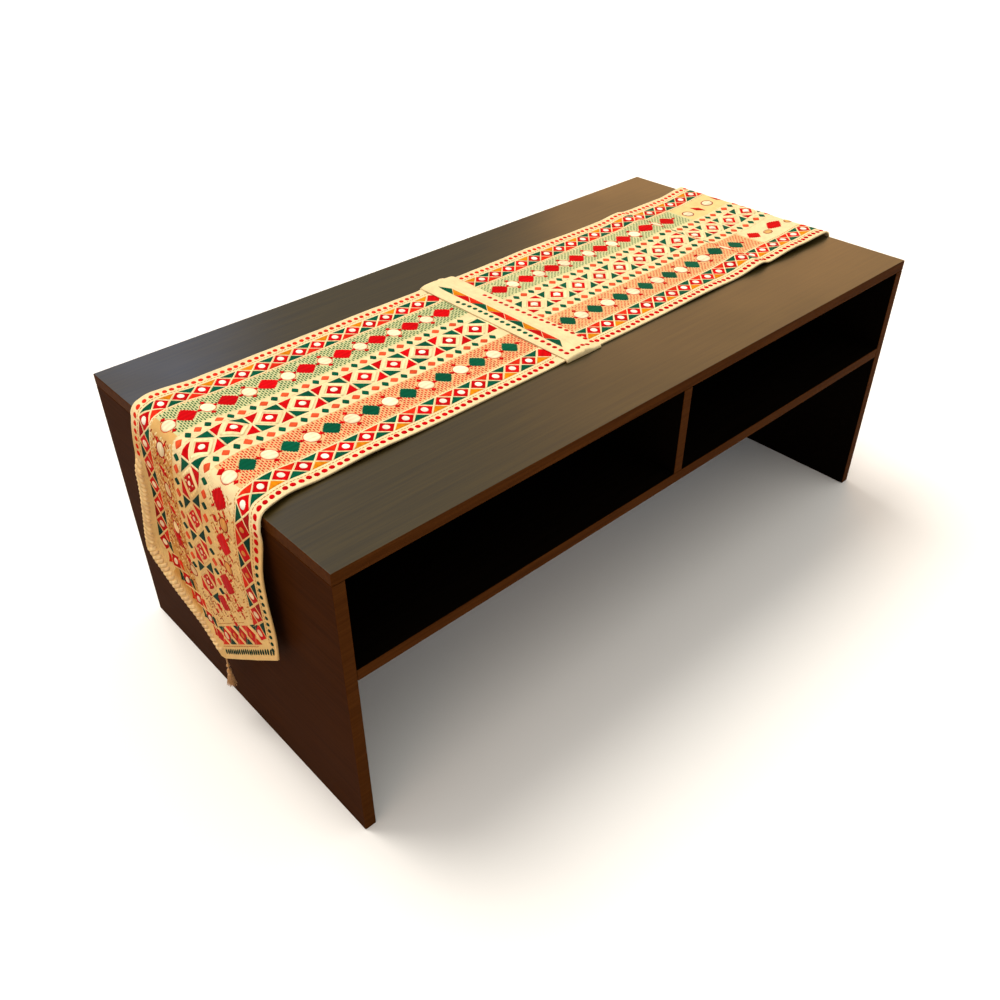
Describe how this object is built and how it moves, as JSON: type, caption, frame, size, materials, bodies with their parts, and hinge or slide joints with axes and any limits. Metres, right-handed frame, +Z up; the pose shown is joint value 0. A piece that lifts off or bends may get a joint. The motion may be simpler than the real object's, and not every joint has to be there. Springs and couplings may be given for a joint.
{
  "type": "table runner on a coffee table",
  "caption": "Long embroidered table runner with pointed ends and tassels, laid over a low slab-sided coffee table with an open shelf.",
  "frame": {"origin": "on the floor, under the middle of the table", "axes": "+X along the table and the runner, towards the far end; +Y across the table, away from the shelf's open side; +Z up"},
  "size_m": [1.2796, 0.6, 0.4763],
  "materials": {
    "embroidered_cloth": "matt cotton with raised silk embroidery",
    "tassel_yarn": "matt twisted yarn",
    "table_top_laminate": "satin dark wood laminate",
    "table_laminate": "satin dark wood laminate",
    "table_inside": "matt dark laminate"
  },
  "bodies": {
    "root": {"runner_cloth": "embroidered_cloth", "cross_band": "embroidered_cloth", "tassel_near": "tassel_yarn", "tassel_far": "tassel_yarn", "table_top": "table_top_laminate", "table_end_near": "table_laminate", "table_end_far": "table_laminate", "table_shelf": "table_laminate", "table_divider": "table_laminate", "table_back": "table_inside"}
  },
  "joints": []
}
